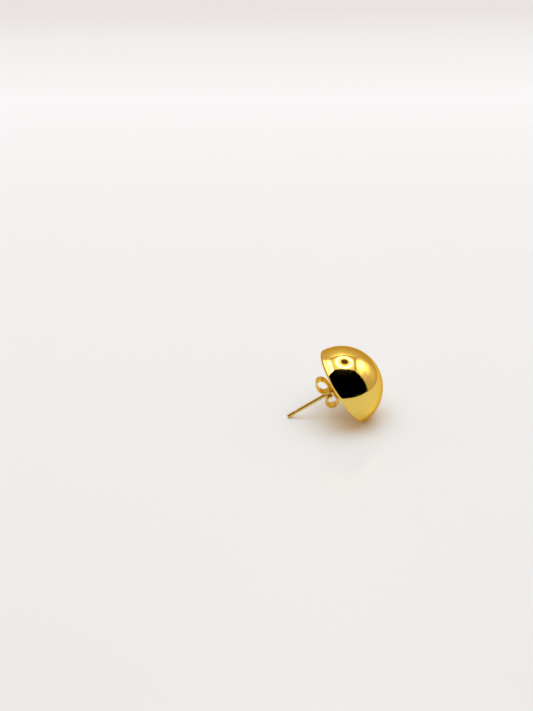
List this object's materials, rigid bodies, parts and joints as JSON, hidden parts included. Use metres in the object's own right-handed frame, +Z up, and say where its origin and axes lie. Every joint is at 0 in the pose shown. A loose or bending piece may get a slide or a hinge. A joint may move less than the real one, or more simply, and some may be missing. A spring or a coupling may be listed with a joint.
{
  "type": "stud earring",
  "caption": "Half-ball stud earring in polished gold-coloured metal: a hollow dome with a closed back, a straight post and a butterfly clutch that slides on the post.",
  "frame": {"origin": "middle of the resting earring's box, on the surface that it rests on", "axes": "+X level, from the post's tip towards the dome's front; +Z up from the surface; the XZ plane is the earring's mirror plane"},
  "size_m": [0.0184, 0.016, 0.0145],
  "materials": {
    "polished_gold": "polished",
    "stamped_gold": "bright, slightly mottled"
  },
  "bodies": {
    "stud": {"dome_stud": "polished_gold"},
    "clutch": {"butterfly_clutch": "stamped_gold"}
  },
  "joints": [
    {"name": "clutch_slide", "type": "slide", "parent": "stud", "child": "clutch", "axis": [-0.8415, 0, -0.5403], "range_m": [-0.00185, 0.007]}
  ]
}
